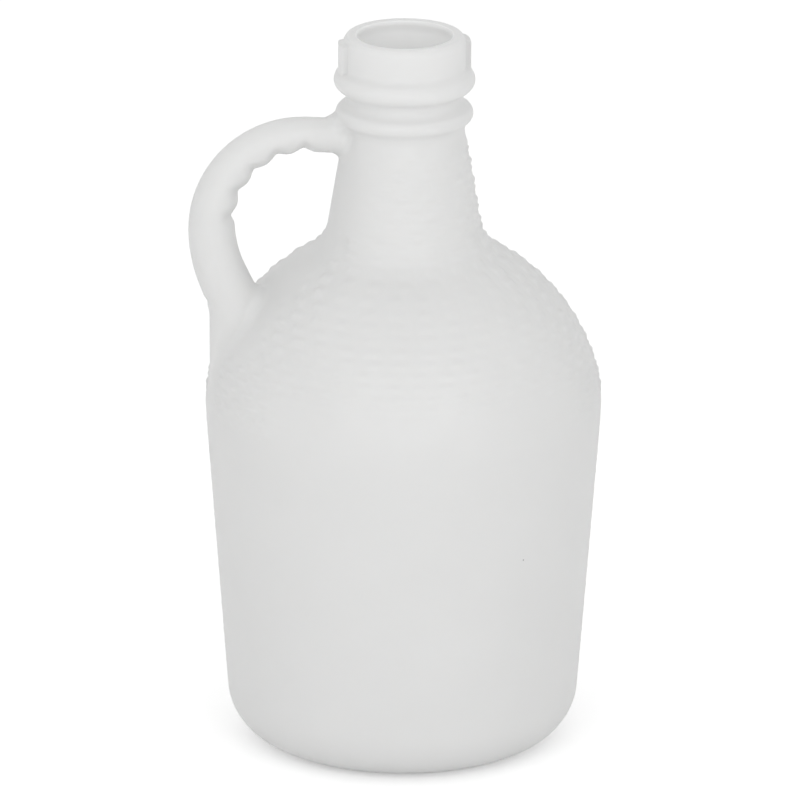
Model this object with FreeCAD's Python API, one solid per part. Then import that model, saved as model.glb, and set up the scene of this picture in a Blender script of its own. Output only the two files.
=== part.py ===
import FreeCAD, Part
import math
import os

from FreeCAD import Vector

# One-piece blow-moulded plastic jug: a round body with tapered sides, a domed shoulder,
# a conical neck with an open ring finish, and one hollow ring handle.
# Millimetres. +Z is up, the origin is on the jug's axis on the plane that the foot
# stands on, and the handle points along -X. The part is symmetric about the XZ plane.

# ---- driving sizes -------------------------------------------------------------------

# body: its sides widen from the heel up to the widest level
body_radius = 53.2
body_widest_height = 93.5
side_taper_deg = 4.3
heel_radius = 14.8
foot_ring_width = 3.8
base_recess_depth = 3.6
body_wall = 0.9

# shoulder: a tighter arc low down, then a flatter one up to the neck
shoulder_low_radius = 37.5
shoulder_high_radius = 53.4
shoulder_break_deg = 17.5

# neck
neck_taper_deg = 9.4
neck_fillet_radius = 13.8
neck_swell = 0.6

# finish: the retaining ring is the widest, and the other radii step in from it
lip_rise = 103.0
ring_drop = 12.2
ring_radius = 18.9
ring_to_groove = 5.0
groove_to_bead = 4.3
bead_step = 0.5
bead_section_radius = 2.3
bead_to_neck = 4.6
groove_depth = 2.9
neck_root_fillet = 3.2
band_step = 2.5
band_fillet = 1.5
finish_wall = 1.9
lip_rounding = 2.6
lip_width = 2.5
lip_depth = 2.0
mouth_flange = 0.85

# two ribs on the parting line of the finish
rib_height = 1.35
rib_width = 7.0
rib_drop = 1.7
rib_rounding = 0.3

# ring handle: a round loop from the neck, then a leg that leans in to the shoulder and
# thins to a tail along it
loop_radius = 24.1
loop_overhang = 5.0
loop_crown_drop = 26.4
loop_root_deg = -5.0
root_depth = 6.0
crown_section = 4.7
side_section = 6.2
foot_section = 7.2
leg_lean_deg = 23.0
leg_lean_radius = 36.0
leg_foot_radius = 22.0
leg_growth_length = 28.0
tail_section = 2.4
tail_length = 13.0
tail_run = 10.0
foot_cover = 0.3
foot_rise = 4.5
handle_wall = 0.9
station_step = 5.0
root_blend = 3.0
foot_blend = 3.0

# finger scallops under the crown of the handle
scallop_count = 5
scallop_first_deg = -1.5
scallop_pitch_deg = 20.7
scallop_radius = 5.0
scallop_depth = 1.8

# ---- outline helpers: points are (radius, height) pairs in the XZ half plane -------------


def along(centre, radius, degrees):
    """Point on a circle; 0 degrees points outward, 90 degrees up."""
    angle = math.radians(degrees)
    return (centre[0] + radius * math.cos(angle), centre[1] + radius * math.sin(angle))


def vector(point):
    return Vector(point[0], 0.0, point[1])


def line(start, end):
    return Part.LineSegment(vector(start), vector(end)).toShape()


def arc(centre, radius, start_deg, end_deg):
    middle_deg = (start_deg + end_deg) / 2.0
    ends = [vector(along(centre, radius, degrees)) for degrees in (start_deg, middle_deg, end_deg)]
    return Part.Arc(*ends).toShape()


def blend_centre(foot, taper_deg, circle_centre, circle_radius, blend_radius, above):
    """Centre of a concave blend that touches a leaning line and the outside of a circle.

    The line passes through foot and leans inward by taper_deg as it rises. The blend lies
    on the line's outer side, above or below the circle.
    """
    lean = math.radians(taper_deg)
    rise = (-math.sin(lean), math.cos(lean))
    outward = (math.cos(lean), math.sin(lean))
    base = (foot[0] + blend_radius * outward[0], foot[1] + blend_radius * outward[1])
    offset = (base[0] - circle_centre[0], base[1] - circle_centre[1])
    along_line = offset[0] * rise[0] + offset[1] * rise[1]
    reach = circle_radius + blend_radius
    spread = math.sqrt(along_line ** 2 - (offset[0] ** 2 + offset[1] ** 2 - reach ** 2))
    step = -along_line + (spread if above else -spread)
    return (base[0] + step * rise[0], base[1] + step * rise[1])


def direction_deg(start, end):
    return math.degrees(math.atan2(end[1] - start[1], end[0] - start[0]))


def revolve(edges):
    face = Part.Face(Part.Wire(edges))
    return face.revolve(Vector(0, 0, 0), Vector(0, 0, 1), 360)


# ---- levels, radii and centres worked out from the driving sizes -------------------------

overall_height = body_widest_height + lip_rise
ring_height = overall_height - ring_drop
groove_height = ring_height - ring_to_groove
bead_height = groove_height - groove_to_bead
neck_top_height = bead_height - bead_to_neck

bead_radius = ring_radius - bead_step
groove_radius = bead_radius - groove_depth
band_radius = ring_radius - band_step
rib_radius = band_radius + rib_height
bore_radius = groove_radius - finish_wall
mouth_radius = bore_radius - mouth_flange
neck_top_radius = groove_radius + neck_swell
neck_top = (neck_top_radius, neck_top_height)


def touching_radius(swell, rise, other_radius):
    """Radius of the arc that touches a neighbour's arc across a given swell and rise."""
    return (swell ** 2 + rise ** 2) / (2 * swell) - other_radius


bead_centre = (bead_radius - bead_section_radius, bead_height)
groove_section_radius = touching_radius(groove_depth, groove_to_bead, bead_section_radius)
groove_centre = (groove_radius + groove_section_radius, groove_height)
ring_section_radius = touching_radius(ring_radius - groove_radius, ring_to_groove,
                                      groove_section_radius)
ring_section_centre = (ring_radius - ring_section_radius, ring_height)

shoulder_low_centre = (body_radius - shoulder_low_radius, body_widest_height)
shoulder_high_centre = along(
    shoulder_low_centre, shoulder_low_radius - shoulder_high_radius, shoulder_break_deg)

side_top = along(shoulder_low_centre, shoulder_low_radius, -side_taper_deg)
taper = math.radians(side_taper_deg)
heel_centre_radius = (side_top[0] * math.cos(taper) - (side_top[1] - heel_radius) * math.sin(taper)
                      - heel_radius) / math.cos(taper)
heel_centre = (heel_centre_radius, heel_radius)
foot_inner_radius = heel_centre_radius - foot_ring_width
recess_sphere_radius = (foot_inner_radius ** 2 + base_recess_depth ** 2) / (2 * base_recess_depth)
recess_centre = (0.0, base_recess_depth - recess_sphere_radius)


def base_and_body(inset, neck_foot, neck_lean_deg):
    """Edges from the axis under the base up to the neck's foot, moved inward by inset."""
    recess_radius = recess_sphere_radius + inset
    recess_edge_deg = math.degrees(math.asin((inset - recess_centre[1]) / recess_radius))
    recess_edge = along(recess_centre, recess_radius, recess_edge_deg)
    heel = heel_radius - inset
    low = shoulder_low_radius - inset
    high = shoulder_high_radius - inset
    fillet = neck_fillet_radius + inset
    fillet_centre = blend_centre(neck_foot, neck_lean_deg, shoulder_high_centre, high, fillet, True)
    shoulder_end_deg = direction_deg(shoulder_high_centre, fillet_centre)
    neck_start = along(fillet_centre, fillet, 180 + neck_lean_deg)
    edges = [
        arc(recess_centre, recess_radius, 90, recess_edge_deg),
        line(recess_edge, (heel_centre[0], inset)),
        arc(heel_centre, heel, -90, -side_taper_deg),
        line(along(heel_centre, heel, -side_taper_deg),
             along(shoulder_low_centre, low, -side_taper_deg)),
        arc(shoulder_low_centre, low, -side_taper_deg, shoulder_break_deg),
        arc(shoulder_high_centre, high, shoulder_break_deg, shoulder_end_deg),
        arc(fillet_centre, fillet, 180 + shoulder_end_deg, 180 + neck_lean_deg),
    ]
    return edges, (0.0, recess_centre[1] + recess_radius), neck_start


def outer_outline():
    edges, axis_low, neck_start = base_and_body(0.0, neck_top, neck_taper_deg)
    root_centre = blend_centre(neck_top, neck_taper_deg, bead_centre, bead_section_radius,
                               neck_root_fillet, False)
    root_start = along(root_centre, neck_root_fillet, 180 + neck_taper_deg)
    root_end_deg = direction_deg(root_centre, bead_centre)
    bead_end_deg = direction_deg(bead_centre, groove_centre)
    ring_start_deg = direction_deg(groove_centre, ring_section_centre)
    band_centre = blend_centre((band_radius, ring_height), 0.0, ring_section_centre,
                               ring_section_radius, band_fillet, True)
    ring_end_deg = direction_deg(ring_section_centre, band_centre)
    lip_edge_radius = mouth_radius + lip_width
    lip_end_deg = math.degrees(math.acos(1 - (band_radius - lip_edge_radius) / lip_rounding))
    lip_rise_above = lip_rounding * math.sin(math.radians(lip_end_deg))
    lip_centre = (band_radius - lip_rounding, overall_height - lip_rise_above)
    edges += [
        line(neck_start, root_start),
        arc(root_centre, neck_root_fillet, 180 + neck_taper_deg, root_end_deg),
        arc(bead_centre, bead_section_radius, root_end_deg - 180, bead_end_deg),
        arc(groove_centre, groove_section_radius, 180 + bead_end_deg, ring_start_deg),
        arc(ring_section_centre, ring_section_radius, ring_start_deg - 180, ring_end_deg),
        arc(band_centre, band_fillet, 180 + ring_end_deg, 180),
        line((band_radius, band_centre[1]), (band_radius, lip_centre[1])),
        arc(lip_centre, lip_rounding, 0, lip_end_deg),
        line((lip_edge_radius, overall_height), (0.0, overall_height)),
        line((0.0, overall_height), axis_low),
    ]
    return edges


def cavity_outline():
    bore_foot = (bore_radius, neck_top_height)
    neck_lean_deg = neck_taper_deg + math.degrees(math.atan2(
        neck_top_radius - body_wall - bore_radius, neck_top_height - neck_foot_height()))
    edges, axis_low, neck_start = base_and_body(body_wall, bore_foot, neck_lean_deg)
    bore_top = (bore_radius, overall_height - lip_depth)
    mouth_foot = (mouth_radius, bore_top[1] + mouth_flange)
    mouth_top = (mouth_radius, overall_height + lip_depth)
    edges += [
        line(neck_start, bore_foot),
        line(bore_foot, bore_top),
        line(bore_top, mouth_foot),
        line(mouth_foot, mouth_top),
        line(mouth_top, (0.0, mouth_top[1])),
        line((0.0, mouth_top[1]), axis_low),
    ]
    return edges


def neck_foot_height():
    """Height at which the neck's cone leaves the fillet above the shoulder."""
    centre = blend_centre(neck_top, neck_taper_deg, shoulder_high_centre, shoulder_high_radius,
                          neck_fillet_radius, True)
    return along(centre, neck_fillet_radius, 180 + neck_taper_deg)[1]


# ---- finish ribs -------------------------------------------------------------------


def finish_ribs():
    top = overall_height - rib_drop
    height = top - ring_height
    disc = Part.makeCylinder(rib_radius, height, Vector(0, 0, ring_height))
    rim = [edge for edge in disc.Edges
           if isinstance(edge.Curve, Part.Circle) and edge.CenterOfMass.z > ring_height + height / 2]
    disc = disc.makeFillet(rib_rounding, rim)
    slab = Part.makeBox(2 * ring_radius, rib_width, height,
                        Vector(-ring_radius, -rib_width / 2, ring_height))
    return disc.common(slab)


# ---- handle ------------------------------------------------------------------------

loop_centre = (side_section + loop_radius - body_radius - loop_overhang,
               overall_height - loop_crown_drop - loop_radius)
foot_height = body_widest_height + foot_rise
root_x = root_depth - neck_top_radius


def body_radius_at(height):
    """Outer radius on the shoulder's lower arc."""
    rise = height - body_widest_height
    return shoulder_low_centre[0] + math.sqrt(shoulder_low_radius ** 2 - rise ** 2)


def loop_point(degrees):
    """Centre and travel direction on the loop; 0 degrees is the crown, 90 the far side."""
    angle = math.radians(degrees)
    point = (loop_centre[0] - loop_radius * math.sin(angle),
             loop_centre[1] + loop_radius * math.cos(angle))
    return point, (-math.cos(angle), -math.sin(angle))


def loop_section(degrees):
    grown = max(0.0, degrees / 90.0)
    return crown_section + grown * (side_section - crown_section)


def root_stations():
    """A straight run along the loop's tangent, from inside the neck to the loop's first point."""
    start, travel = loop_point(loop_first_deg())
    run = (start[0] - root_x) / travel[0]
    steps = math.ceil(run / station_step)
    stations = []
    for index in range(steps):
        back = run * (steps - index) / steps
        point = (start[0] - back * travel[0], start[1] - back * travel[1])
        stations.append((point, travel, crown_section))
    return stations


def loop_first_deg():
    """The loop starts at its root angle, or further on where it is already deep in the neck."""
    reach = min(1.0, (root_x - loop_centre[0]) / loop_radius)
    return max(loop_root_deg, -math.degrees(math.asin(reach)))


def loop_stations():
    first_deg = loop_first_deg()
    steps = round(math.radians(90 - first_deg) * loop_radius / station_step)
    stations = []
    for index in range(steps + 1):
        degrees = first_deg + index * (90 - first_deg) / steps
        point, travel = loop_point(degrees)
        stations.append((point, travel, loop_section(degrees)))
    return stations


def eased(share):
    """A share from 0 to 1 with an even start and end."""
    share = min(1.0, max(0.0, share))
    return share * share * (3 - 2 * share)


def leg_stations():
    """Below the loop: a bend inward, a straight run, a bend back, then upright into the body.

    Along the tail the section thins while its outer side keeps its course.
    """
    lean = math.radians(leg_lean_deg)
    top = loop_point(90)[0]
    foot_x = foot_section + foot_cover - body_radius_at(foot_height)
    bends = (leg_lean_radius + leg_foot_radius) * (1 - math.cos(lean))
    run = (foot_x - top[0] - bends) / math.sin(lean)
    lean_length = leg_lean_radius * lean
    foot_length = leg_foot_radius * lean
    lean_centre = (top[0] + leg_lean_radius, top[1])
    run_start = along(lean_centre, leg_lean_radius, 180 + leg_lean_deg)
    run_end = (run_start[0] + run * math.sin(lean), run_start[1] - run * math.cos(lean))
    foot_centre = (run_end[0] - leg_foot_radius * math.cos(lean),
                   run_end[1] - leg_foot_radius * math.sin(lean))
    upright = foot_centre[1] - foot_height
    length = lean_length + run + foot_length + upright
    tail_start = length - tail_run - tail_length
    steps = round(length / station_step)
    stations = []
    for index in range(1, steps + 1):
        distance = length * index / steps
        past_lean = distance - lean_length
        past_run = past_lean - run
        past_foot = past_run - foot_length
        if past_lean < 0:
            turn = distance / leg_lean_radius
            point = along(lean_centre, leg_lean_radius, 180 + math.degrees(turn))
        elif past_run < 0:
            turn = lean
            point = (run_start[0] + past_lean * math.sin(lean),
                     run_start[1] - past_lean * math.cos(lean))
        elif past_foot < 0:
            turn = lean - past_run / leg_foot_radius
            point = along(foot_centre, leg_foot_radius, math.degrees(turn))
        else:
            turn = 0.0
            point = (foot_x, foot_centre[1] - past_foot)
        grown = min(1.0, distance / leg_growth_length)
        section = side_section + grown * (foot_section - side_section)
        thinned = (foot_section - tail_section) * eased((distance - tail_start) / tail_length)
        point = (point[0] - thinned * math.cos(turn), point[1] - thinned * math.sin(turn))
        stations.append((point, (math.sin(turn), -math.cos(turn)), section - thinned))
    return stations


def handle_tube(inset):
    rings = []
    for centre, travel, section in root_stations() + loop_stations() + leg_stations():
        middle = vector(centre)
        across = Vector(0, section - inset, 0)
        outward = vector((travel[1], -travel[0])).multiply(section - inset)
        circle = Part.Circle(middle + across, middle + outward, middle - across)
        rings.append(Part.Wire(circle.toShape()))
    return Part.makeLoft(rings, True, False)


def scallop_cutters(inset):
    """Rods across the handle whose sides make the hollows under its crown."""
    cutters = []
    for index in range(scallop_count):
        degrees = scallop_first_deg + index * scallop_pitch_deg
        angle = math.radians(degrees)
        reach = loop_radius - loop_section(degrees) + scallop_depth - scallop_radius
        centre = Vector(loop_centre[0] - reach * math.sin(angle), -foot_section,
                        loop_centre[1] + reach * math.cos(angle))
        cutters.append(Part.makeCylinder(scallop_radius + inset, 2 * foot_section,
                                         centre, Vector(0, 1, 0)))
    return cutters


def handle_solid(inset):
    return handle_tube(inset).cut(scallop_cutters(inset))


# ---- jug --------------------------------------------------------------------------


def junction_edges(solid, at_root):
    """Edges where the handle's skin meets the neck (at_root) or the shoulder."""
    found = []
    for edge in solid.Edges:
        skins = [face.Surface for face in solid.ancestorsOfType(edge, Part.Face)]
        handle_skins = [skin for skin in skins if isinstance(skin, Part.BSplineSurface)]
        body_skins = [skin for skin in skins
                      if not isinstance(skin, (Part.BSplineSurface, Part.Cylinder))]
        if handle_skins and body_skins and (edge.BoundBox.ZMin > loop_centre[1]) == at_root:
            found.append(edge)
    return found


def make_outside():
    outside = revolve(outer_outline()).fuse([finish_ribs(), handle_solid(0.0)]).Solids[0]
    outside = outside.makeFillet(foot_blend, junction_edges(outside, False)).Solids[0]
    return outside.makeFillet(root_blend, junction_edges(outside, True)).Solids[0]


def make_jug():
    inside = revolve(cavity_outline()).fuse(handle_solid(handle_wall))
    return make_outside().cut(inside)


os.makedirs("parts", exist_ok=True)
jug = make_jug()
print("solids", len(jug.Solids), "valid", jug.isValid(), "walls cm3", round(jug.Volume / 1000, 2))
jug.Solids[0].exportStep("parts/jug.step")
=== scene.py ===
import math

import bmesh
import bpy
import numpy as np
from mathutils import Matrix, Vector


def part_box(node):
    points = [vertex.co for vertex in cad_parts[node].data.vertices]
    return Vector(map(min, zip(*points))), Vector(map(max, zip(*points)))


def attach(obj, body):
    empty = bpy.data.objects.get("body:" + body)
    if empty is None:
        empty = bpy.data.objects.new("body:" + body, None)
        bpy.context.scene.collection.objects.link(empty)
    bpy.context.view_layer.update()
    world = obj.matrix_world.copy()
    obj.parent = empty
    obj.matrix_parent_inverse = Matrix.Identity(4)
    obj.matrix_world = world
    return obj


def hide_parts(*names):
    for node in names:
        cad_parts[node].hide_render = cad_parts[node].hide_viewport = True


# A blow-moulded plastic jug of milky polyethylene: one skin, outside and inside, with the
# wicker relief, the ring handle and its finger scallops modelled in the mesh.
# Metres. +Z is up, the foot stands on Z = 0 and the handle points along -X.

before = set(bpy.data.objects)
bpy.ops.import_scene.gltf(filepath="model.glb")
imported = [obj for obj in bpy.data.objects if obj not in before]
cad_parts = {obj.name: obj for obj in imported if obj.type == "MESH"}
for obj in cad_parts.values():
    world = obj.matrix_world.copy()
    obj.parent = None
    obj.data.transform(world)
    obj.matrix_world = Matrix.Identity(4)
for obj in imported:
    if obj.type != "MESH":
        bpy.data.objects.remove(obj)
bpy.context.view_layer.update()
cad_low, cad_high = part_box("jug")

# ---- sizes taken from the solid's box -------------------------------------------------

BOX_CLEARANCE = 0.00002
HEIGHT = cad_high.z
BODY_RADIUS = cad_high.y
HANDLE_REACH = -cad_low.x - BOX_CLEARANCE

# ---- the jug's own sizes --------------------------------------------------------------

WIDEST_HEIGHT = 0.0935
SIDE_TAPER = 4.3
HEEL_RADIUS = 0.0148
FOOT_RING_WIDTH = 0.0038
RECESS_DEPTH = 0.0036
WALL = 0.0009
LOW_SHOULDER_RADIUS = 0.0375
HIGH_SHOULDER_RADIUS = 0.0534
SHOULDER_BREAK = 17.5
NECK_TAPER = 9.4
NECK_FILLET = 0.0138
NECK_SWELL = 0.0006

RING_HEIGHT = HEIGHT - 0.0122
RING_RADIUS = 0.0189
GROOVE_HEIGHT = RING_HEIGHT - 0.0050
BEAD_HEIGHT = GROOVE_HEIGHT - 0.0043
BEAD_RADIUS = RING_RADIUS - 0.0005
BEAD_SECTION = 0.0023
GROOVE_DEPTH = 0.0029
GROOVE_RADIUS = BEAD_RADIUS - GROOVE_DEPTH
NECK_TOP = (GROOVE_RADIUS + NECK_SWELL, BEAD_HEIGHT - 0.0046)
NECK_ROOT_FILLET = 0.0032
BAND_RADIUS = RING_RADIUS - 0.0025
BAND_FILLET = 0.0015
LIP_ROUNDING = 0.0026
LIP_WIDTH = 0.0025
LIP_EDGE = 0.0004
LIP_CREASE = 0.00015
BORE_RADIUS = GROOVE_RADIUS - 0.0019
MOUTH_RADIUS = BORE_RADIUS - 0.00085
MOUTH_DEPTH = 0.0020

RIB_RADIUS = BAND_RADIUS + 0.00135
RIB_HALF_WIDTH = 0.0035
RIB_TOP = HEIGHT - 0.0017
RIB_ROUNDING = 0.0003
RIB_MARGIN = 0.0002

LOOP_RADIUS = 0.0241
CROWN_SECTION = 0.0047
SIDE_SECTION = 0.0062
FOOT_SECTION = 0.0072
LOOP_CENTRE = (SIDE_SECTION + LOOP_RADIUS - HANDLE_REACH, HEIGHT - 0.0264 - LOOP_RADIUS)
LOOP_START = -5.0
LEG_LEAN = 23.0
LEAN_RADIUS = 0.036
FOOT_BEND_RADIUS = 0.022
LEG_GROWTH = 0.028
TAIL_SECTION = 0.0024
TAIL_LENGTH = 0.013
TAIL_RUN = 0.010
FOOT_COVER = 0.0003
FOOT_RISE = 0.0045
ROOT_RUN = 0.0158
ROOT_BLEND = 0.0030
FOOT_BLEND = 0.0030
INSIDE_BLEND = 0.0006
LOWEST_JOINT = 0.086
HANDLE_ZONE = 0.030

# the first scallop and the pitch are degrees round the loop, the runs are counted in scallops,
# and the sides are cosines of the turn away from the handle's inner side
SCALLOPS = 5
SCALLOP_FIRST = -1.5
SCALLOP_PITCH = 20.7
SCALLOP_DEPTH = 0.0013
SCALLOP_SOFTNESS = 0.02
SCALLOPS_RUN_IN = (-0.75, -0.25)
SCALLOPS_RUN_OUT = (SCALLOPS - 0.9, SCALLOPS - 0.4)
SCALLOP_SIDES = (-0.1, 0.75)
INSIDE_SCALLOP_SHARE = 0.7

WEAVE_PITCH = 0.00271
WEAVE_LENGTH = 0.0084
WEAVE_DEPTH = 0.00074
SIDE_WEAVE_DEPTH = 0.00012
STRAND_SHARE = 0.12
SUNK_SHARE = 0.28
FRONT_SHARE = 0.42
SCALE_RISE = (-0.55, 0.75)
WEAVE_GAP = 0.0015
WEAVE_LEVEL = 0.0994
WEAVE_ANCHOR = math.radians(9.5)
PANEL_HALF_ANGLE = math.radians(52)
PANEL_EDGE = 0.06

# where the weave fades: heights, and angles from the front or from the handle
WEAVE_FOOT = (0.016, 0.022)
SIDES_TOP = (0.089, 0.101)
PANEL_TOP = (0.1045, 0.1095)
WEAVE_TOP = (0.1655, 0.1685)
FRONT_TURN = (0.55, 1.20)
EYE_STRIP_LOW = (0.110, 0.116)
EYE_STRIP_TURN = (0.30, 0.48)
NECK_STRIP_LOW = (0.142, 0.147)
NECK_STRIP_TURN = (0.7, 1.1)

# ---- outline of the jug: points are (radius, height) pairs --------------------------------

OUTLINE_STEP = 0.00005


def along(centre, radius, degrees):
    angle = math.radians(degrees)
    return (centre[0] + radius * math.cos(angle), centre[1] + radius * math.sin(angle))


def arc(centre, radius, start_deg, end_deg):
    length = abs(math.radians(end_deg - start_deg)) * radius
    angles = np.radians(np.linspace(start_deg, end_deg, max(3, math.ceil(length / OUTLINE_STEP))))
    return np.column_stack((centre[0] + radius * np.cos(angles), centre[1] + radius * np.sin(angles)))


def line(start, end):
    length = math.dist(start, end)
    return np.linspace(start, end, max(3, math.ceil(length / OUTLINE_STEP)))


def direction_deg(start, end):
    return math.degrees(math.atan2(end[1] - start[1], end[0] - start[0]))


def touching_radius(swell, rise, other_radius):
    """Radius of the arc that touches a neighbour's arc across a given swell and rise."""
    return (swell ** 2 + rise ** 2) / (2 * swell) - other_radius


def blend_centre(foot, taper_deg, circle_centre, circle_radius, blend_radius, above):
    """Centre of a concave blend that touches a leaning line and the outside of a circle."""
    lean = math.radians(taper_deg)
    rise = (-math.sin(lean), math.cos(lean))
    base = (foot[0] + blend_radius * math.cos(lean), foot[1] + blend_radius * math.sin(lean))
    offset = (base[0] - circle_centre[0], base[1] - circle_centre[1])
    along_line = offset[0] * rise[0] + offset[1] * rise[1]
    reach = circle_radius + blend_radius
    spread = math.sqrt(along_line ** 2 - (offset[0] ** 2 + offset[1] ** 2 - reach ** 2))
    step = -along_line + (spread if above else -spread)
    return (base[0] + step * rise[0], base[1] + step * rise[1])


low_centre = (BODY_RADIUS - LOW_SHOULDER_RADIUS, WIDEST_HEIGHT)
high_centre = along(low_centre, LOW_SHOULDER_RADIUS - HIGH_SHOULDER_RADIUS, SHOULDER_BREAK)
side_top = along(low_centre, LOW_SHOULDER_RADIUS, -SIDE_TAPER)
taper = math.radians(SIDE_TAPER)
heel_centre = (
    (side_top[0] * math.cos(taper) - (side_top[1] - HEEL_RADIUS) * math.sin(taper) - HEEL_RADIUS)
    / math.cos(taper), HEEL_RADIUS)
foot_inner = heel_centre[0] - FOOT_RING_WIDTH
recess_radius = (foot_inner ** 2 + RECESS_DEPTH ** 2) / (2 * RECESS_DEPTH)
recess_centre = (0.0, RECESS_DEPTH - recess_radius)


def base_and_body(inset, neck_foot, neck_lean):
    """Named stretches from the axis under the base up to the neck's foot, moved in by inset."""
    sphere = recess_radius + inset
    edge_deg = math.degrees(math.asin((inset - recess_centre[1]) / sphere))
    edge = along(recess_centre, sphere, edge_deg)
    heel = HEEL_RADIUS - inset
    low = LOW_SHOULDER_RADIUS - inset
    high = HIGH_SHOULDER_RADIUS - inset
    fillet = NECK_FILLET + inset
    fillet_centre = blend_centre(neck_foot, neck_lean, high_centre, high, fillet, True)
    top_deg = direction_deg(high_centre, fillet_centre)
    stretches = [
        ("recess", arc(recess_centre, sphere, 90, edge_deg)),
        ("foot", line(edge, (heel_centre[0], inset))),
        ("heel", arc(heel_centre, heel, -90, -SIDE_TAPER)),
        ("side", line(along(heel_centre, heel, -SIDE_TAPER), along(low_centre, low, -SIDE_TAPER))),
        ("low_shoulder", arc(low_centre, low, -SIDE_TAPER, SHOULDER_BREAK)),
        ("high_shoulder", arc(high_centre, high, SHOULDER_BREAK, top_deg)),
        ("neck_fillet", arc(fillet_centre, fillet, 180 + top_deg, 180 + neck_lean)),
    ]
    return stretches, along(fillet_centre, fillet, 180 + neck_lean)


def outer_stretches():
    stretches, neck_start = base_and_body(0.0, NECK_TOP, NECK_TAPER)
    bead = (BEAD_RADIUS - BEAD_SECTION, BEAD_HEIGHT)
    groove_section = touching_radius(GROOVE_DEPTH, GROOVE_HEIGHT - BEAD_HEIGHT, BEAD_SECTION)
    groove = (GROOVE_RADIUS + groove_section, GROOVE_HEIGHT)
    ring_section = touching_radius(RING_RADIUS - GROOVE_RADIUS, RING_HEIGHT - GROOVE_HEIGHT,
                                   groove_section)
    ring = (RING_RADIUS - ring_section, RING_HEIGHT)
    root = blend_centre(NECK_TOP, NECK_TAPER, bead, BEAD_SECTION, NECK_ROOT_FILLET, False)
    root_end = direction_deg(root, bead)
    bead_end = direction_deg(bead, groove)
    ring_start = direction_deg(groove, ring)
    band = blend_centre((BAND_RADIUS, RING_HEIGHT), 0.0, ring, ring_section, BAND_FILLET, True)
    ring_end = direction_deg(ring, band)
    lip_outer = MOUTH_RADIUS + LIP_WIDTH
    lip_end = math.degrees(math.acos(1 - (BAND_RADIUS - lip_outer) / LIP_ROUNDING))
    lip = (BAND_RADIUS - LIP_ROUNDING, HEIGHT - LIP_ROUNDING * math.sin(math.radians(lip_end)))
    lip_edge = (MOUTH_RADIUS + LIP_EDGE, HEIGHT - LIP_EDGE)
    stretches += [
        ("neck", line(neck_start, along(root, NECK_ROOT_FILLET, 180 + NECK_TAPER))),
        ("neck_root", arc(root, NECK_ROOT_FILLET, 180 + NECK_TAPER, root_end)),
        ("bead", arc(bead, BEAD_SECTION, root_end - 180, bead_end)),
        ("groove", arc(groove, groove_section, 180 + bead_end, ring_start)),
        ("ring", arc(ring, ring_section, ring_start - 180, ring_end)),
        ("band_fillet", arc(band, BAND_FILLET, 180 + ring_end, 180)),
        ("band", line((BAND_RADIUS, band[1]), (BAND_RADIUS, lip[1]))),
        ("lip", arc(lip, LIP_ROUNDING, 0, lip_end)),
        ("lip_top", line((lip_outer, HEIGHT), (lip_edge[0], HEIGHT))),
        ("lip_edge", arc(lip_edge, LIP_EDGE, 90, 180)),
    ]
    return stretches, neck_start


def inner_stretches(outer_neck_start):
    """The bore, the neck and the cavity, from the mouth down to the axis."""
    bore_foot = (BORE_RADIUS, NECK_TOP[1])
    lean = NECK_TAPER + math.degrees(math.atan2(
        NECK_TOP[0] - WALL - BORE_RADIUS, NECK_TOP[1] - outer_neck_start[1]))
    stretches, neck_start = base_and_body(WALL, bore_foot, lean)
    bore_top = (BORE_RADIUS, HEIGHT - MOUTH_DEPTH)
    mouth_foot = (MOUTH_RADIUS, bore_top[1] + BORE_RADIUS - MOUTH_RADIUS)
    down = [
        ("mouth", line((MOUTH_RADIUS, HEIGHT - LIP_EDGE), mouth_foot)),
        ("flange", line(mouth_foot, bore_top)),
        ("bore", line(bore_top, bore_foot)),
        ("inside_neck", line(bore_foot, neck_start)),
    ]
    return down + [("inside_" + name, points[::-1]) for name, points in reversed(stretches)]


class Outline:
    """Points of an outline with their lengths along it and outward normals, and its named stretches."""

    def __init__(self, stretches):
        self.start = {}
        self.end = {}
        points = []
        length = 0.0
        for name, stretch in stretches:
            self.start[name] = length
            length += float(np.linalg.norm(np.diff(stretch, axis=0), axis=1).sum())
            self.end[name] = length
            points.append(stretch if not points else stretch[1:])
        self.points = np.vstack(points)
        steps = np.linalg.norm(np.diff(self.points, axis=0), axis=1)
        self.lengths = np.concatenate(([0.0], np.cumsum(steps)))
        tangent = np.gradient(self.points, self.lengths, axis=0)
        normal = np.column_stack((tangent[:, 1], -tangent[:, 0]))
        self.normals = normal / np.linalg.norm(normal, axis=1)[:, None]

    def at(self, length):
        """Radius, height and outward normal at a length along the outline."""
        values = np.column_stack((self.points, self.normals))
        return [np.interp(length, self.lengths, column) for column in values.T]

    def length_at_height(self, height, first, last):
        """Length at which the outline passes a height between two of its stretches."""
        inside = (self.lengths >= self.start[first]) & (self.lengths <= self.end[last])
        heights = self.points[inside, 1]
        lengths = self.lengths[inside]
        return float(np.interp(height, heights, lengths))

    def radius_at_height(self, height):
        """Outer radius of the body or the neck at a height."""
        outer = self.lengths <= self.end["neck"]
        return float(np.interp(height, self.points[outer, 1], self.points[outer, 0]))


upper_stretches, outer_neck_start = outer_stretches()
outline = Outline(upper_stretches + inner_stretches(outer_neck_start))

# ---- course of the handle: lengths, centres, headings and section radii -----------------------


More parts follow.
